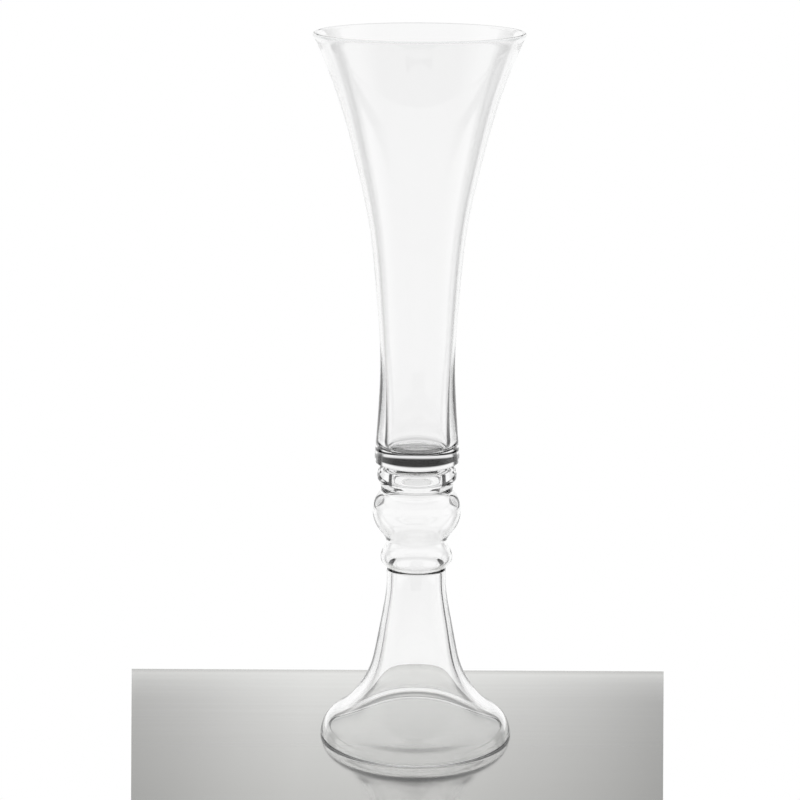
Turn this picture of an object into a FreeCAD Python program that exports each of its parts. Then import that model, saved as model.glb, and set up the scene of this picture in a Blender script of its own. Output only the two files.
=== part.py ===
"""Tall trumpet vase in clear hand-blown glass: a flared bowl bonded on a hollow baluster stem with a bell foot.

Millimetres, +Z up. The origin is the middle of the ground rim that the vase stands on.
Every piece is turned about Z from its half section, drawn in the XZ plane as (radius, height).
"""
import FreeCAD, Part
import os
from math import cos, hypot, pi, radians, sin, sqrt

Vector = FreeCAD.Vector

# Bell foot and tube: outside radii, and heights above the table
FOOT_RADIUS = 83.2        # widest part of the bell, just above its rim
TUBE_RADIUS = 25.4        # tube under the small knop
FLARE_HEIGHT = 140.0      # where the bell has drawn in to the tube
TUBE_LENGTH = 13.3        # from there up to the crease under the small knop
FOOT_WALL = 5.0
FLARE_WALL = 6.3          # the bell is thickest part of the way up, at FLARE_WALL_HEIGHT
FLARE_WALL_HEIGHT = 45.0
TUBE_WALL = 4.2
RIM_ROUNDING = 1.3        # edges either side of the flat ground rim

# Knops and necks of the stem: radius of each, and its rise above the one below
KNOP_RADIUS = 30.9
KNOP_RISE = 7.7           # crease to the widest line of the small knop
NECK_RADIUS = 26.2
NECK_RISE = 15.0
BALL_RADIUS = 37.8
BALL_RISE = 26.0
GROOVE_RADIUS = 30.8
GROOVE_RISE = 18.8        # widest line of the ball to the crease under the collar
GROOVE_WIDTH = 2.7
COLLAR_RADIUS = 33.9
COLLAR_RISE = 10.0
PAD_RADIUS = 32.4         # flat pad over the collar, which carries the bowl
PAD_DROP = 5.3            # height of the pad's side
PAD_RISE = 12.3           # widest line of the collar to the pad's flat top
PAD_ROUNDING = 0.8
KNOP_WALL = 2.8
NECK_WALL = 3.2
BALL_WALL = 2.8

# Bubble in the top of the stem: a cone under a full dome, with the glass gathered thick round it
GROOVE_WALL = 4.7         # at the foot of the cone, a little under the groove
CONE_DROP = 3.4           # groove down to the foot of the cone
COLLAR_WALL = 12.9        # at the foot of the dome
DOME_RISE = 12.9
DOME_FULLNESS = 0.79      # 0.55 makes the dome an ellipse, and 1 would make it a flat-topped box
PAD_THICKNESS = 2.0       # glass that closes the stem under the pad's flat top

# Cured film of clear adhesive between the two ground faces
BOND_THICKNESS = 0.2
BOND_MARGIN = 0.4         # the film stops this far short of the pad's flat edge

# Trumpet bowl
BOWL_HEIGHT = 364.0
MOUTH_RADIUS = 87.6
MOUTH_LEAN = 25.0         # degrees that the wall leans out at the lip
WAIST_RADIUS = 31.65
WAIST_HEIGHT = 89.0       # above the bowl's own bottom
HEEL_RADIUS = 36.4
HEEL_HEIGHT = 4.5         # widest line of the heel
HEEL_ROUNDING = 1.8
BOWL_WALL = 3.2
BORE_RADIUS = 26.0        # narrow straight bore inside the thick heel
BORE_TOP = 36.0           # where the bore starts to open out to the thin wall
BORE_ROUNDING = 5.0       # between the bore and the floor
BASE_THICKNESS = 11.0     # solid glass under the floor of the bowl

# Curve of the bell, from table to tube: share of FLARE_HEIGHT, share of the way out from tube to foot
BELL_CURVE = ((0.043, 0.985), (0.086, 0.940), (0.111, 0.883), (0.143, 0.775), (0.200, 0.612), (0.271, 0.466),
              (0.357, 0.334), (0.457, 0.231), (0.586, 0.159), (0.743, 0.088), (0.871, 0.031), (0.940, 0.008))
# Curve of the bowl under its waist: share of the way down to the heel, share of the way out to it
HEEL_CURVE = ((0.85, 0.75), (0.61, 0.44), (0.29, 0.11))
# Curve of the bowl over its waist: share of the way up to the mouth, share of the way out to it
MOUTH_CURVE = ((0.160, 0.045), (0.310, 0.103), (0.455, 0.201), (0.600, 0.356), (0.745, 0.534), (0.870, 0.735))

UPWARD = Vector(0, 0, 1)


def point(radius, height):
    return Vector(radius, 0, height)


def line(start, end):
    return Part.makeLine(start, end)


def spline(points):
    """Smooth curve through the points."""
    curve = Part.BSplineCurve()
    curve.interpolate(points)
    return curve


def ogee(low, high, low_hold=0.4, high_hold=0.4):
    """S-curve that leaves low and reaches high straight upward; a hold is the share of the rise kept upright."""
    rise = high.z - low.z
    curve = Part.BezierCurve()
    curve.setPoles([low, low + UPWARD * rise * low_hold, high - UPWARD * rise * high_hold, high])
    return curve.toShape()


def crest(start, end, widest):
    """Round arc between a crease and the widest line of a swelling, upright at the widest line."""
    crease = end if widest is start else start
    inward = widest.x - crease.x
    rise = crease.z - widest.z
    bend = (inward ** 2 + rise ** 2) / (2 * inward)
    middle = Vector(widest.x - bend + sqrt(bend ** 2 - (rise / 2) ** 2), 0, widest.z + rise / 2)
    return Part.Arc(start, middle, end).toShape()


def corner(start, end, bulge_toward):
    """Quarter-round edge from start to end, bulging toward the sharp corner that it replaces."""
    middle = (start + end) * 0.5
    out = bulge_toward - middle
    reach = hypot(out.x, out.z)
    radius = hypot(end.x - start.x, end.z - start.z) / sqrt(2)
    sagitta = radius * (1 - sqrt(0.5))
    return Part.Arc(start, middle + out * (sagitta / reach), end).toShape()


def eased(start, end, share):
    """A size that passes gently from start to end as the share goes from 0 to 1."""
    return start + (end - start) * (1 - cos(pi * share)) / 2


def inside(curve, outer_point, wall):
    """The point one wall thickness in from a point on an upward-running outside curve."""
    tangent = curve.tangent(curve.parameter(outer_point))[0]
    tangent.normalize()
    return outer_point + Vector(-tangent.z, 0, tangent.x) * wall


def turned(edges):
    """Solid of revolution of a closed half section."""
    section = Part.Face(Part.Wire(Part.__sortEdges__(edges)))
    solid = section.revolve(Vector(0, 0, 0), UPWARD, 360)
    if solid.Volume < 0:
        solid.reverse()
    return solid


# Heights that follow from the rises
CREASE_HEIGHT = FLARE_HEIGHT + TUBE_LENGTH
KNOP_HEIGHT = CREASE_HEIGHT + KNOP_RISE
NECK_HEIGHT = KNOP_HEIGHT + NECK_RISE
BALL_HEIGHT = NECK_HEIGHT + BALL_RISE
GROOVE_HEIGHT = BALL_HEIGHT + GROOVE_RISE
COLLAR_HEIGHT = GROOVE_HEIGHT + GROOVE_WIDTH + COLLAR_RISE
PAD_HEIGHT = COLLAR_HEIGHT + PAD_RISE
BOWL_BOTTOM = PAD_HEIGHT + BOND_THICKNESS
BOWL_TOP = BOWL_BOTTOM + BOWL_HEIGHT


def stem_foot():
    """Bell foot, tube, two knops, collar and pad: one blown, hollow piece, open at the rim it stands on."""
    # Outside of the bell and the tube
    skirt = point(FOOT_RADIUS, RIM_ROUNDING)
    bell = [skirt]
    for height_share, radius_share in BELL_CURVE:
        radius = TUBE_RADIUS + (FOOT_RADIUS - TUBE_RADIUS) * radius_share
        bell.append(point(radius, FLARE_HEIGHT * height_share))
    bell.append(point(TUBE_RADIUS, FLARE_HEIGHT))
    bell_curve = spline(bell)

    # Inside of the bell, one wall in from the outside at every station
    rim_inner = point(FOOT_RADIUS - FOOT_WALL, RIM_ROUNDING)
    hollow = [rim_inner]
    for station in bell[1:]:
        if station.z < FLARE_WALL_HEIGHT:
            wall = eased(FOOT_WALL, FLARE_WALL, station.z / FLARE_WALL_HEIGHT)
        else:
            risen = (station.z - FLARE_WALL_HEIGHT) / (FLARE_HEIGHT - FLARE_WALL_HEIGHT)
            wall = eased(FLARE_WALL, TUBE_WALL, risen)
        hollow.append(inside(bell_curve, station, wall))
    hollow_curve = spline(hollow)

    # Flat ground rim, with both of its edges rounded
    rim = [
        corner(point(rim_inner.x + RIM_ROUNDING, 0), rim_inner, point(rim_inner.x, 0)),
        line(point(rim_inner.x + RIM_ROUNDING, 0), point(FOOT_RADIUS - RIM_ROUNDING, 0)),
        corner(point(FOOT_RADIUS - RIM_ROUNDING, 0), skirt, point(FOOT_RADIUS, 0)),
    ]

    # Outside of the knops, the groove, the collar and the pad
    crease = point(TUBE_RADIUS, CREASE_HEIGHT)
    knop = point(KNOP_RADIUS, KNOP_HEIGHT)
    neck = point(NECK_RADIUS, NECK_HEIGHT)
    ball = point(BALL_RADIUS, BALL_HEIGHT)
    groove_low = point(GROOVE_RADIUS, GROOVE_HEIGHT)
    groove_high = point(GROOVE_RADIUS, GROOVE_HEIGHT + GROOVE_WIDTH)
    collar = point(COLLAR_RADIUS, COLLAR_HEIGHT)
    pad_low = point(PAD_RADIUS, PAD_HEIGHT - PAD_DROP)
    pad_side = point(PAD_RADIUS, PAD_HEIGHT - PAD_ROUNDING)
    pad_edge = point(PAD_RADIUS - PAD_ROUNDING, PAD_HEIGHT)
    outside = [
        line(bell[-1], crease),
        crest(crease, knop, knop),
        ogee(knop, neck),
        ogee(neck, ball, 0.25, 0.55),
        crest(ball, groove_low, ball),
        line(groove_low, groove_high),
        ogee(groove_high, collar),
        crest(collar, pad_low, collar),
        line(pad_low, pad_side),
        corner(pad_side, pad_edge, point(PAD_RADIUS, PAD_HEIGHT)),
    ]

    # Inside of the stem: the same swellings, softer, closing in a dome under the pad
    tube_bore = point(TUBE_RADIUS - TUBE_WALL, CREASE_HEIGHT - TUBE_WALL)
    knop_bore = point(KNOP_RADIUS - KNOP_WALL, KNOP_HEIGHT)
    neck_bore = point(NECK_RADIUS - NECK_WALL, NECK_HEIGHT)
    ball_bore = point(BALL_RADIUS - BALL_WALL, BALL_HEIGHT)
    cone_foot = point(GROOVE_RADIUS - GROOVE_WALL, GROOVE_HEIGHT - CONE_DROP)
    dome_top = point(0, PAD_HEIGHT - PAD_THICKNESS)
    dome_foot = point(COLLAR_RADIUS - COLLAR_WALL, dome_top.z - DOME_RISE)
    dome = Part.BezierCurve()
    dome.setPoles([dome_foot, dome_foot + UPWARD * DOME_RISE * DOME_FULLNESS,
                   point(dome_foot.x * DOME_FULLNESS, dome_top.z), dome_top])
    bore = [
        line(hollow[-1], tube_bore),
        ogee(tube_bore, knop_bore),
        ogee(knop_bore, neck_bore),
        ogee(neck_bore, ball_bore, 0.3, 0.5),
        ogee(ball_bore, cone_foot, 0.5, 0.1),
        ogee(cone_foot, dome_foot, 0.1, 0.15),
        dome.toShape(),
    ]
    closing = [line(pad_edge, point(0, PAD_HEIGHT)), line(point(0, PAD_HEIGHT), dome_top)]
    return turned(rim + [bell_curve.toShape(), hollow_curve.toShape()] + outside + bore + closing)


def adhesive_bond():
    """Thin clear film on the pad, face to face with the ground bottom of the bowl."""
    flat_radius = min(PAD_RADIUS - PAD_ROUNDING, HEEL_RADIUS - HEEL_ROUNDING)
    return Part.makeCylinder(flat_radius - BOND_MARGIN, BOND_THICKNESS, point(0, PAD_HEIGHT))


def trumpet_bowl():
    """Flared bowl with a fire-polished lip, a thick heel and a solid flat-ground base."""
    waist = point(WAIST_RADIUS, BOWL_BOTTOM + WAIST_HEIGHT)
    heel = point(HEEL_RADIUS, BOWL_BOTTOM + HEEL_HEIGHT)
    heel_side = point(HEEL_RADIUS, BOWL_BOTTOM + HEEL_ROUNDING)
    heel_edge = point(HEEL_RADIUS - HEEL_ROUNDING, BOWL_BOTTOM)
    # The lip is a full round, so its middle is half a wall from the widest radius and from the top
    lean = radians(MOUTH_LEAN)
    lip_middle = point(MOUTH_RADIUS - BOWL_WALL / 2, BOWL_TOP - BOWL_WALL / 2)
    wall_run = Vector(sin(lean), 0, cos(lean))
    lip_outward = Vector(cos(lean), 0, -sin(lean)) * (BOWL_WALL / 2)
    mouth = lip_middle + lip_outward

    # Outside, from the heel up to the mouth
    side = [heel]
    for drop_share, radius_share in HEEL_CURVE:
        radius = WAIST_RADIUS + (HEEL_RADIUS - WAIST_RADIUS) * radius_share
        side.append(point(radius, waist.z - (waist.z - heel.z) * drop_share))
    side.append(waist)
    for rise_share, radius_share in MOUTH_CURVE:
        radius = WAIST_RADIUS + (mouth.x - WAIST_RADIUS) * radius_share
        side.append(point(radius, waist.z + (mouth.z - waist.z) * rise_share))
    side.append(mouth)
    side_curve = spline(side)

    # Inside: the narrow bore in the heel, then one wall in from the outside
    floor_height = BOWL_BOTTOM + BASE_THICKNESS
    floor_edge = point(BORE_RADIUS - BORE_ROUNDING, floor_height)
    bore_low = point(BORE_RADIUS, floor_height + BORE_ROUNDING)
    bore_high = point(BORE_RADIUS, BOWL_BOTTOM + BORE_TOP)
    thin_wall = [inside(side_curve, station, BOWL_WALL) for station in side[side.index(waist):]]
    bore_curve = spline([bore_low, bore_high] + thin_wall)
    lip_top = lip_middle + wall_run * (BOWL_WALL / 2)
    return turned([
        line(point(0, BOWL_BOTTOM), heel_edge),
        corner(heel_edge, heel_side, point(HEEL_RADIUS, BOWL_BOTTOM)),
        line(heel_side, heel),
        side_curve.toShape(),
        Part.Arc(mouth, lip_top, thin_wall[-1]).toShape(),
        bore_curve.toShape(),
        corner(bore_low, floor_edge, point(BORE_RADIUS, floor_height)),
        line(floor_edge, point(0, floor_height)),
        line(point(0, floor_height), point(0, BOWL_BOTTOM)),
    ])


os.makedirs("parts", exist_ok=True)
for name, solid in (("stem_foot", stem_foot()), ("adhesive_bond", adhesive_bond()), ("trumpet_bowl", trumpet_bowl())):
    solid.exportStep("parts/" + name + ".step")
    box = solid.BoundBox
    print(name, "valid", solid.isValid(), "volume cm3 %.1f" % (solid.Volume / 1000),
          "radius %.2f" % box.XMax, "z %.2f to %.2f" % (box.ZMin, box.ZMax))
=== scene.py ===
"""Tall trumpet vase in clear hand-blown glass, on a grey table before a white backdrop. Metres, +Z up.

The vase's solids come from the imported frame. Each glass piece is turned again here as a fine, softly
creased mesh from its own half section, so that light bends through it as smoothly as through real glass.
"""

from math import cos, pi, radians, sin

import bmesh
import bpy
import numpy as np
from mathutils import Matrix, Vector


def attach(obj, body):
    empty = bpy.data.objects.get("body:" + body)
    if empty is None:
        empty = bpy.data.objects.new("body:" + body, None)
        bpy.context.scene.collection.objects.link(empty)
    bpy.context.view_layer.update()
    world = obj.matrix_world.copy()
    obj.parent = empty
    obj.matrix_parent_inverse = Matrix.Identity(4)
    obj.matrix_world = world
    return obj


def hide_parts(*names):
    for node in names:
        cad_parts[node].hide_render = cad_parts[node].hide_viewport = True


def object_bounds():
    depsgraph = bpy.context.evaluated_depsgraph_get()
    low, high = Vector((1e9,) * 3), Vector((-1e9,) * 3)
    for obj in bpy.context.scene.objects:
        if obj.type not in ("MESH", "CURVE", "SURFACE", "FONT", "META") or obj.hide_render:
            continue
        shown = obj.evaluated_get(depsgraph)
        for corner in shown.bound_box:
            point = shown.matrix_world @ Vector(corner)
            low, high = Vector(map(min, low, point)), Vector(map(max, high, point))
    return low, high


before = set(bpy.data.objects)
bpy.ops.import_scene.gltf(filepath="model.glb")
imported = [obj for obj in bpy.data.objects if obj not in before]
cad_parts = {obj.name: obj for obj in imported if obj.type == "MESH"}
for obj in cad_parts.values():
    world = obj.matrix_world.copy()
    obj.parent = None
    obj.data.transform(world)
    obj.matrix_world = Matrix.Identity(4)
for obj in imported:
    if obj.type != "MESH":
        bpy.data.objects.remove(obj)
cad_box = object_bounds()

MM = 0.001
WHITE = (1, 1, 1, 1)

# Camera, as the photograph was taken
IMAGE_SIDE = 800                      # pixels, both ways
LENS, SENSOR = 111.2, 36.0            # mm
CAMERA_PLACE = (-0.0148, -2.037, 0.798)
CAMERA_DROP = 13.75                   # degrees that it looks down
CAMERA_ROLL = 0.28                    # degrees

# The table top, and the columns at which the photograph's own picture ends
TABLE_FRONT, TABLE_BACK = -0.55, 0.157
TABLE_THICKNESS = 0.018
PICTURE_LEFT, PICTURE_RIGHT = 133, 665

# Its colour. Depth is the share of the way from front to back, and width the share of the way from
# WIDTH_LEFT to WIDTH_RIGHT. Both greys are painted light and shade. By depth, the matt grey is darkest at
# the front, lightest near the back and darker again at the back edge. Across the width, the grey and
# the sheen's colour are lightest left of the middle. The reach says, by depth, how much of the painted light
# across the width holds
TABLE_PAINTED_LIGHT_BY_DEPTH = ((0.0, 0.16), (0.58, 0.26), (0.72, 0.44), (0.82, 0.60), (0.92, 0.78), (0.985, 0.95),
                     (0.993, 0.7), (1.0, 0.5))
WIDTH_LEFT, WIDTH_RIGHT = -0.25, 0.22
TABLE_PAINTED_LIGHT_ACROSS = ((0.0, 0.66), (0.10, 0.75), (0.21, 0.88), (0.32, 0.98), (0.43, 1.0), (0.57, 0.97),
                      (0.68, 0.90), (0.77, 0.84), (0.87, 0.75), (0.96, 0.65), (1.0, 0.61))
PAINTED_LIGHT_ACROSS_REACH = ((0.88, 1.0), (0.95, 0.8), (1.0, 0.4))
STREAK_STRETCH = (1.5, 70, 1)         # draws the streaks out from side to side
STREAK_SCALE, STREAK_DETAIL = 2.0, 4
STREAK_SHARES = (0.93, 1.07)          # of the grey, in the darkest and the lightest streak
TABLE_SHEEN = (0.86, 0.86, 0.835, 1)
TABLE_POLISH = 0.62                   # share of the sheen over the matt grey
TABLE_ROUGHNESS = 0.10                # of the sheen

# Fineness of the turned meshes
BOWL_SEGMENTS, STEM_SEGMENTS = 192, 160
LINE_STEP = 0.2 * MM                  # between the points of a line while it is smoothed
CORNER_TURN = 20                      # degrees, above which a turn stays a corner
CREASE_SOFTNESS = 0.35 * MM           # how far a melted crease is rounded
ROW_TURN = 3.0                        # degrees that a line turns before the next row of faces begins
ROW_GAP = 3.2 * MM                    # that a line runs at most before it begins
SAME_PLACE = 1e-6                     # metres, below which a distance counts as none

# The studio seen from the vase. Each rise is (degrees up from level, grey). Each turn is (degrees round
# from the backdrop's middle, share), and a share of 1 is wholly a card, or wholly the room behind the camera
BACKDROP_RISE = ((-90, 0.55), (-32, 0.9), (-26, 1.0), (12.6, 1.0), (13.8, 0.0), (17, 0.0), (18.2, 0.9),
                 (90, 0.9))
CARD_RISE = ((-90, 0.55), (-40, 0.6), (-20, 0.08), (17, 0.05), (24, 0.5), (40, 0.9), (90, 0.9))
CARD_TURN = ((-180, 0), (-70, 0), (-66, 1), (-52, 1), (-46, 0), (42, 0), (48, 1), (66, 1), (70, 0),
             (180, 0))
ROOM_RISE = ((-90, 0.6), (-40, 0.85), (-18, 1.0), (60, 1.0), (90, 0.9))
ROOM_TURN = ((-180, 1), (-120, 1), (-90, 0), (90, 0), (120, 1), (180, 1))
ROOM_MIRRORED = 0.25                  # share of the room's light that a mirroring surface picks up

# Glass
GLASS_IOR = 1.52
BOWL_CLEARNESS, STEM_CLEARNESS = 0.975, 0.995
SMEAR_SCALE, SMEAR_DETAIL = 30, 3
SMEAR_SPAN = (0.5, 0.8)               # of the noise, over which a smear comes up
SMEAR_ROUGHNESS = (0.0, 0.03)
WAVE_SCALE, WAVE_DETAIL = 22, 0.5
WAVE_HEIGHT = 0.05 * MM               # of the waves that blowing leaves in the surface
GROUND_AND_SHADE_DEPTH = 0.5 * MM               # up to which the foot's rim is matt from grinding, and greyed by painted contact shade
# Painted contact shade: the grey the rim takes where it stands on the table; the roughness is the real
# grinding
CONTACT_SHADE_GREY, GROUND_ROUGHNESS = 0.3, 0.3
PASSED_LIGHT = (0.93, 0.935, 0.935, 1)        # what the glass lets through to the table
LIP_DEPTH = 30 * MM                   # down from the mouth, within which light can be trapped in the lip
MOST_MIRRORINGS = 1.5                 # number above which light mirrored there counts as trapped

# Film of cured adhesive
FILM_COLOUR = (0.975, 0.975, 0.965, 1)
FILM_IOR = 1.49
FILM_FLOW_SCALE, FILM_FLOW_DETAIL = 90, 3
FILM_ROUGHNESS = (0.01, 0.07)
FILM_GAP = 0.02 * MM                  # air that the film leaves against each ground face


# ---------------------------------------------------------------- node helpers

def new_material(name):
    material = bpy.data.materials.new(name)
    material.use_nodes = True
    material.node_tree.nodes.clear()
    return material, material.node_tree


def node(tree, kind, inputs, **settings):
    """New node. Its inputs go by name or number, and each is a value or the socket that feeds it."""
    made = tree.nodes.new(kind)
    for key, value in settings.items():
        setattr(made, key, value)
    for key, value in inputs.items():
        if isinstance(value, bpy.types.NodeSocket):
            tree.links.new(value, made.inputs[key])
        else:
            made.inputs[key].default_value = value
    return made


def ramp(tree, amount, stops):
    """Grey over an amount from 0 to 1, by (amount, grey) stops."""
    made = node(tree, "ShaderNodeValToRGB", {0: amount})
    elements = made.color_ramp.elements
    while len(elements) > 1:
        elements.remove(elements[-1])
    for index, (position, grey) in enumerate(stops):
        element = elements[0] if index == 0 else elements.new(position)
        element.position = position
        element.color = (grey, grey, grey, 1)
    return made.outputs[0]


def mapped(tree, value, span, onto=(0.0, 1.0)):
    """A value carried over from one span to another, and held within it."""
    ends = {"From Min": span[0], "From Max": span[1], "To Min": onto[0], "To Max": onto[1]}
    return node(tree, "ShaderNodeMapRange", {"Value": value, **ends}).outputs[0]


def maths(tree, operation, *values, **settings):
    return node(tree, "ShaderNodeMath", dict(enumerate(values)), operation=operation, **settings).outputs[0]


def noise(tree, place, scale, detail):
    return node(tree, "ShaderNodeTexNoise", {"Vector": place, "Scale": scale, "Detail": detail}).outputs[0]


def mixed(tree, share, first, second, blend_type="MIX"):
    inputs = {"Factor": share, "A": first, "B": second}
    return node(tree, "ShaderNodeMix", inputs, data_type="RGBA", blend_type=blend_type).outputs["Result"]


def mixed_shaders(tree, share, first, second):
    return node(tree, "ShaderNodeMixShader", {0: share, 1: first, 2: second}).outputs[0]


# ---------------------------------------------------------------- turned meshes

def half_section(node_name):
    """(radius, height) points where a turned node's mesh crosses +X, from the end nearest to the axis."""
    cast = bmesh.new()
    cast.from_mesh(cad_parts[node_name].data)
    bmesh.ops.remove_doubles(cast, verts=cast.verts[:], dist=SAME_PLACE)
    seam = {edge for edge in cast.edges
            if all(abs(end.co.y) < SAME_PLACE and end.co.x > -SAME_PLACE for end in edge.verts)}
    met = {}
    for edge in seam:
        for vertex in edge.verts:
            met.setdefault(vertex, []).append(edge)
    here = min((vertex for vertex in met if len(met[vertex]) == 1), key=lambda vertex: vertex.co.x)
    line = [here]
    while True:
        onward = [edge for edge in met[here] if edge in seam]
        if not onward:
            break
        seam.discard(onward[0])
        here = onward[0].other_vert(here)
        line.append(here)
    points = np.array([(vertex.co.x, vertex.co.z) for vertex in line])
    cast.free()
    return points


def turn_angles(points):
    """Degrees that the line turns at each of its inner points."""
    steps = np.diff(points, axis=0)
    heading = np.unwrap(np.arctan2(steps[:, 1], steps[:, 0]))
    return np.degrees(np.abs(np.diff(heading)))


def smooth_through(points, step):
    """Curve through the points, sampled every step. It is straight where upright or level, and a sharp
    turn stays a corner."""
    straight = np.nonzero((np.abs(np.diff(points, axis=0)) < SAME_PLACE).any(axis=1))[0]
    turned = np.nonzero(turn_angles(points) > CORNER_TURN)[0] + 1
    breaks = sorted({0, len(points) - 1, *straight, *(straight + 1), *turned})
    out = [points[:1]]
    for first, last in zip(breaks, breaks[1:]):
        run = points[first:last + 1]
        along = np.concatenate(([0], np.cumsum(np.linalg.norm(np.diff(run, axis=0), axis=1))))
        count = max(2, int(along[-1] / step) + 1)
        at = np.linspace(0, along[-1], count)[1:]
        if len(run) == 2:
            out.append(run[0] + (run[1] - run[0]) * (at / along[-1])[:, None])
            continue
        # Cubic through the points, with slopes averaged by the lengths either side
        slope = np.diff(run, axis=0) / np.diff(along)[:, None]
        ahead, behind = np.diff(along)[1:, None], np.diff(along)[:-1, None]
        middle = (slope[:-1] * ahead + slope[1:] * behind) / (ahead + behind)
        slopes = np.concatenate((2 * slope[:1] - middle[:1], middle, 2 * slope[-1:] - middle[-1:]))
        cell = np.clip(np.searchsorted(along, at) - 1, 0, len(run) - 2)
        length = (along[cell + 1] - along[cell])[:, None]
        t = (at - along[cell])[:, None] / length
        out.append(
            (2 * t**3 - 3 * t**2 + 1) * run[cell] + (t**3 - 2 * t**2 + t) * length * slopes[cell]
            + (3 * t**2 - 2 * t**3) * run[cell + 1] + (t**3 - t**2) * length * slopes[cell + 1])
    return np.concatenate(out)


def soften(points, step, softness):
    """Rounds the creases of an evenly stepped line by about this much, with a bell curve that is cut off
    at three widths."""
    reach = int(3 * softness / step)
    weights = np.exp(-0.5 * (np.arange(-reach, reach + 1) * step / softness) ** 2)
    weights /= weights.sum()
    ahead = points[0] + (points[0] - points[1:reach + 1][::-1])
    after = points[-1] + (points[-1] - points[-reach - 1:-1][::-1])
    padded = np.concatenate((ahead, points, after))
    return np.column_stack([np.convolve(padded[:, axis], weights, "valid") for axis in (0, 1)])


def thinned(points, turn, gap):
    """Leaves out points until the line turns or runs this far between those kept."""
    turns = np.concatenate(([0], turn_angles(points), [0]))
    runs = np.concatenate(([0], np.linalg.norm(np.diff(points, axis=0), axis=1)))
    kept, turned, run = [0], 0.0, 0.0
    for index in range(1, len(points) - 1):
        turned += turns[index]
        run += runs[index]
        if turned >= turn or run >= gap:
            kept.append(index)
            turned = run = 0.0
    return points[kept + [len(points) - 1]]


def glass_line(node_name):
    """The half section of a glass node, from the axis inside its hollow round to the axis outside."""
    line = half_section(node_name)
    parts = [line]
    if line[0][0] > LINE_STEP:
        parts.insert(0, [(0.0, line[0][1])])
    if line[-1][0] > LINE_STEP:
        parts.append([(0.0, line[-1][1])])
    line = np.concatenate(parts)
    line[0][0] = line[-1][0] = 0.0
    softened = soften(smooth_through(line, LINE_STEP), LINE_STEP, CREASE_SOFTNESS)
    return thinned(softened, ROW_TURN, ROW_GAP)


def lathe(name, line, segments):
    """Closed smooth mesh turned about Z from a line whose two ends lie on the axis."""
    turned = bmesh.new()
    angles = [2 * pi * index / segments for index in range(segments)]
    rings = [[turned.verts.new((r * cos(a), r * sin(a), z)) for a in angles] for r, z in line[1:-1]]
    tips = [turned.verts.new((0, 0, line[index][1])) for index in (0, -1)]
    for ring, onward in zip(rings, rings[1:]):
        for index in range(segments):
            after = (index + 1) % segments
            turned.faces.new((ring[index], onward[index], onward[after], ring[after]))
    for ring, tip in ((rings[0], tips[0]), (rings[-1], tips[1])):
        for index in range(segments):
            turned.faces.new((ring[index], ring[(index + 1) % segments], tip))
    made = object_of(name, turned)
    made.data.shade_smooth()
    return made


def object_of(name, shape):
    """Puts a closed bmesh into the scene as an object, with its faces turned outward."""
    bmesh.ops.recalc_face_normals(shape, faces=shape.faces[:])
    mesh = bpy.data.meshes.new(name)
    shape.to_mesh(mesh)
    shape.free()
    made = bpy.data.objects.new(name, mesh)
    bpy.context.scene.collection.objects.link(made)
    return made


# ---------------------------------------------------------------- materials

def clear_glass(name, clearness, top):
    """Hand-blown glass: faintly wavy, barely smeared, and ground matt where it stands on the table, where a
    painted contact shade also turns it grey. A lip that reaches up to the top, given as a height, lets out
    the light trapped in it."""
    material, tree = new_material(name)
    place = node(tree, "ShaderNodeTexCoord", {}).outputs["Object"]
    height = node(tree, "ShaderNodeSeparateXYZ", {0: place}).outputs["Z"]
    smears = mapped(tree, noise(tree, place, SMEAR_SCALE, SMEAR_DETAIL), SMEAR_SPAN, SMEAR_ROUGHNESS)
    # Mask of the foot's rim: real grinding for the roughness, painted contact shade for the grey
    ground_and_shade = mapped(tree, height, (GROUND_AND_SHADE_DEPTH, 0.0))
    waves = node(tree, "ShaderNodeBump", {
        "Strength": 1.0,
        "Distance": WAVE_HEIGHT,
        "Height": noise(tree, place, WAVE_SCALE, WAVE_DETAIL)})
    glass = node(tree, "ShaderNodeBsdfPrincipled", {
        # Painted contact shade greys the rim where it stands on the table
        "Base Color": ramp(tree, ground_and_shade, ((0.0, clearness), (1.0, CONTACT_SHADE_GREY))),
        "Roughness": maths(tree, "MULTIPLY_ADD", ground_and_shade, GROUND_ROUGHNESS, smears),
        "IOR": GLASS_IOR,
        "Transmission Weight": 1.0,
        "Normal": waves.outputs[0]})

    # Lamps and the table's light pass straight through, as through thin clear glass. So does a ray that has
    # been mirrored to and fro inside the lip, which would otherwise reach the renderer's limit and turn black
    path = node(tree, "ShaderNodeLightPath", {}).outputs
    trapped = maths(tree, "MULTIPLY",
                    maths(tree, "GREATER_THAN", path["Glossy Depth"], MOST_MIRRORINGS),
                    maths(tree, "GREATER_THAN", height, top - LIP_DEPTH))
    passing = node(tree, "ShaderNodeBsdfTransparent", {"Color": PASSED_LIGHT}).outputs[0]
    surface = glass.outputs[0]
    for when in (trapped, path["Is Diffuse Ray"], path["Is Shadow Ray"]):
        surface = mixed_shaders(tree, when, surface, passing)
    node(tree, "ShaderNodeOutputMaterial", {"Surface": surface})
    return material


def clear_adhesive():
    material, tree = new_material("cured_clear_adhesive")
    place = node(tree, "ShaderNodeTexCoord", {}).outputs["Object"]
    flow = noise(tree, place, FILM_FLOW_SCALE, FILM_FLOW_DETAIL)
    resin = node(tree, "ShaderNodeBsdfPrincipled", {
        "Base Color": FILM_COLOUR,
        "Roughness": mapped(tree, flow, (0.0, 1.0), FILM_ROUGHNESS),
        "IOR": FILM_IOR,
        "Transmission Weight": 1.0})
    node(tree, "ShaderNodeOutputMaterial", {"Surface": resin.outputs[0]})
    return material


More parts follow.
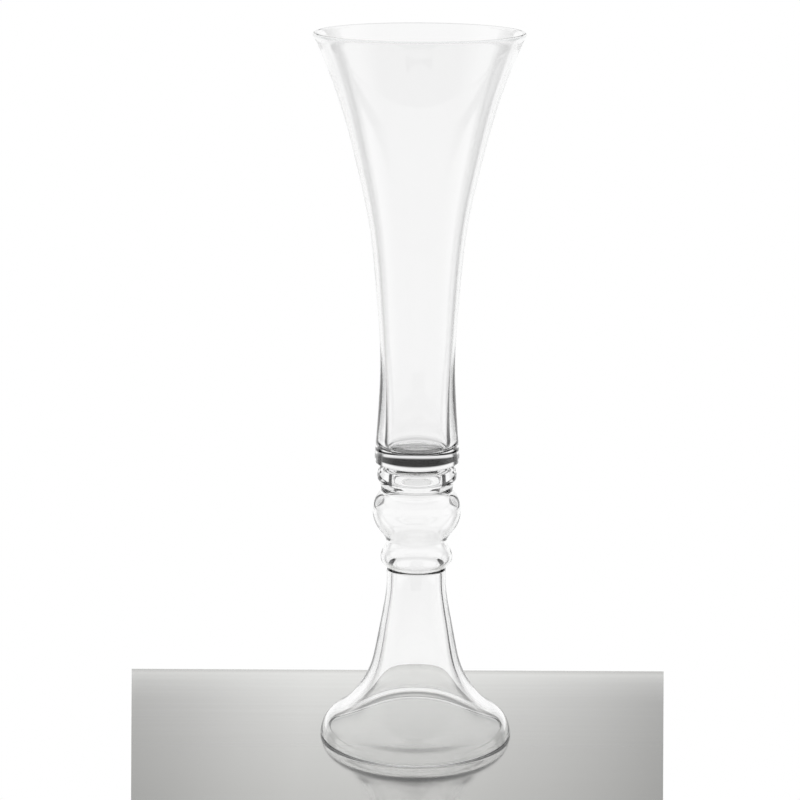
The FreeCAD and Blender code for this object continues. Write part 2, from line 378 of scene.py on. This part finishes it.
def table_top():
    """Polished grey top: its sheen mirrors what stands on it, a little blurred, over a faintly streaked
    grey. Painted light makes the grey darkest at the front and lightest towards the back, and makes both the
    grey and the sheen's colour lightest left of its middle."""
    material, tree = new_material("grey_table")
    place = node(tree, "ShaderNodeTexCoord", {}).outputs["Object"]
    sides = node(tree, "ShaderNodeSeparateXYZ", {0: place}).outputs
    depth = mapped(tree, sides["Y"], (TABLE_FRONT, TABLE_BACK))
    width = mapped(tree, sides["X"], (WIDTH_LEFT, WIDTH_RIGHT))
    stretched = node(tree, "ShaderNodeMapping", {"Vector": place, "Scale": STREAK_STRETCH}).outputs[0]
    streaks = mapped(tree, noise(tree, stretched, STREAK_SCALE, STREAK_DETAIL), (0.0, 1.0), STREAK_SHARES)
    # Painted light and shade in the matt grey: darkest at the front, lightest near the back, darker again at
    # the back edge
    grey = ramp(tree, depth, TABLE_PAINTED_LIGHT_BY_DEPTH)
    streaked_painted_grey = node(tree, "ShaderNodeVectorMath", {0: grey, "Scale": streaks}, operation="SCALE").outputs[0]
    # Painted light across the width, lightest left of the middle, multiplied into the matt grey and the
    # sheen's colour
    painted_falloff = mixed(tree, ramp(tree, depth, PAINTED_LIGHT_ACROSS_REACH), WHITE, ramp(tree, width, TABLE_PAINTED_LIGHT_ACROSS))
    matt = node(tree, "ShaderNodeBsdfDiffuse", {"Color": mixed(tree, 1.0, streaked_painted_grey, painted_falloff, "MULTIPLY")})
    # The sheen's colour carries the same painted light across the width
    polish = node(tree, "ShaderNodeBsdfGlossy", {
        "Color": mixed(tree, 1.0, TABLE_SHEEN, painted_falloff, "MULTIPLY"),
        "Roughness": TABLE_ROUGHNESS})
    surface = mixed_shaders(tree, TABLE_POLISH, matt.outputs[0], polish.outputs[0])
    node(tree, "ShaderNodeOutputMaterial", {"Surface": surface})
    return material


# ---------------------------------------------------------------- stage

def camera():
    data = bpy.data.cameras.new("camera")
    data.lens, data.sensor_width = LENS, SENSOR
    made = bpy.data.objects.new("camera", data)
    made.location = CAMERA_PLACE
    made.rotation_euler = (radians(90 - CAMERA_DROP), 0, 0)
    made.rotation_euler.rotate_axis("Z", radians(CAMERA_ROLL))
    bpy.context.scene.collection.objects.link(made)
    bpy.context.scene.camera = made


def across(column, y):
    """World x on the table at depth y that the camera sees in this column of the image."""
    drop = radians(CAMERA_DROP)
    distance = (y - CAMERA_PLACE[1]) * cos(drop) + CAMERA_PLACE[2] * sin(drop)
    return CAMERA_PLACE[0] + (column - IMAGE_SIDE / 2) / IMAGE_SIDE * SENSOR / LENS * distance


def table():
    corners = [(across(PICTURE_LEFT, y), across(PICTURE_RIGHT, y), y) for y in (TABLE_FRONT, TABLE_BACK)]
    (near_left, near_right, near), (far_left, far_right, far) = corners
    outline = [(near_left, near), (near_right, near), (far_right, far), (far_left, far)]
    slab = bmesh.new()
    top = slab.faces.new([slab.verts.new((x, y, 0)) for x, y in outline])
    sunk = bmesh.ops.extrude_face_region(slab, geom=[top])
    for vertex in (part for part in sunk["geom"] if isinstance(part, bmesh.types.BMVert)):
        vertex.co.z = -TABLE_THICKNESS
    made = object_of("table", slab)
    made.data.materials.append(table_top())


def by_angle(tree, angle, stops, most):
    """Grey by an angle of the direction seen, from (degrees, grey) stops from minus the most to the most."""
    share = mapped(tree, angle, (radians(-most), radians(most)))
    return ramp(tree, share, [((degrees + most) / (2 * most), grey) for degrees, grey in stops])


def surroundings():
    """White backdrop under a dark gap and a soft overhead light, between two dark upright cards, and a
    pale room behind the camera. The camera itself sees plain white."""
    world = bpy.data.worlds.new("studio")
    world.use_nodes = True
    tree = world.node_tree
    tree.nodes.clear()
    place = node(tree, "ShaderNodeTexCoord", {}).outputs["Generated"]
    sides = node(tree, "ShaderNodeSeparateXYZ", {0: place}).outputs
    rise = maths(tree, "ARCSINE", sides["Z"])
    turn = maths(tree, "ARCTAN2", sides["X"], sides["Y"])
    cards = by_angle(tree, turn, CARD_TURN, 180)
    room = by_angle(tree, turn, ROOM_TURN, 180)
    seen = by_angle(tree, rise, BACKDROP_RISE, 90)
    for share, greys in ((cards, CARD_RISE), (room, ROOM_RISE)):
        seen = mixed(tree, share, seen, by_angle(tree, rise, greys, 90))

    # A ray that glass has bent counts as glossy too, so it is taken off to leave those that were mirrored
    path = node(tree, "ShaderNodeLightPath", {}).outputs
    mirrored = maths(tree, "SUBTRACT", path["Is Glossy Ray"], path["Is Transmission Ray"], use_clamp=True)
    kept = ramp(tree, maths(tree, "MULTIPLY", room, mirrored), ((0.0, 1.0), (1.0, ROOM_MIRRORED)))
    lit = mixed(tree, 1.0, seen, kept, "MULTIPLY")
    shown = mixed(tree, path["Is Camera Ray"], lit, WHITE)
    light = node(tree, "ShaderNodeBackground", {"Color": shown}).outputs[0]
    node(tree, "ShaderNodeOutputWorld", {"Surface": light})
    bpy.context.scene.world = world


# ---------------------------------------------------------------- the vase

def vase():
    for node_name, segments, clearness in (("trumpet_bowl", BOWL_SEGMENTS, BOWL_CLEARNESS),
                                           ("stem_foot", STEM_SEGMENTS, STEM_CLEARNESS)):
        piece = lathe(node_name + "_glass", glass_line(node_name), segments)
        piece.data.materials.append(clear_glass(node_name + "_clear_glass", clearness, cad_box[1][2]))
        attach(piece, "root")
        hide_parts(node_name)

    # The film just misses both ground faces, so that the heel and the pad mirror inside as bare glass does
    corners = np.array([corner[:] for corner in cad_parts["adhesive_bond"].bound_box])
    low, high = corners[:, 2].min() + FILM_GAP, corners[:, 2].max() - FILM_GAP
    edge = corners[:, 0].max() - FILM_GAP
    film = lathe("adhesive_film", [(0, high), (edge, high), (edge, low), (0, low)], STEM_SEGMENTS)
    film.data.materials.append(clear_adhesive())
    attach(film, "root")
    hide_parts("adhesive_bond")


bpy.context.scene.view_settings.view_transform = "Standard"
camera()
table()
surroundings()
vase()
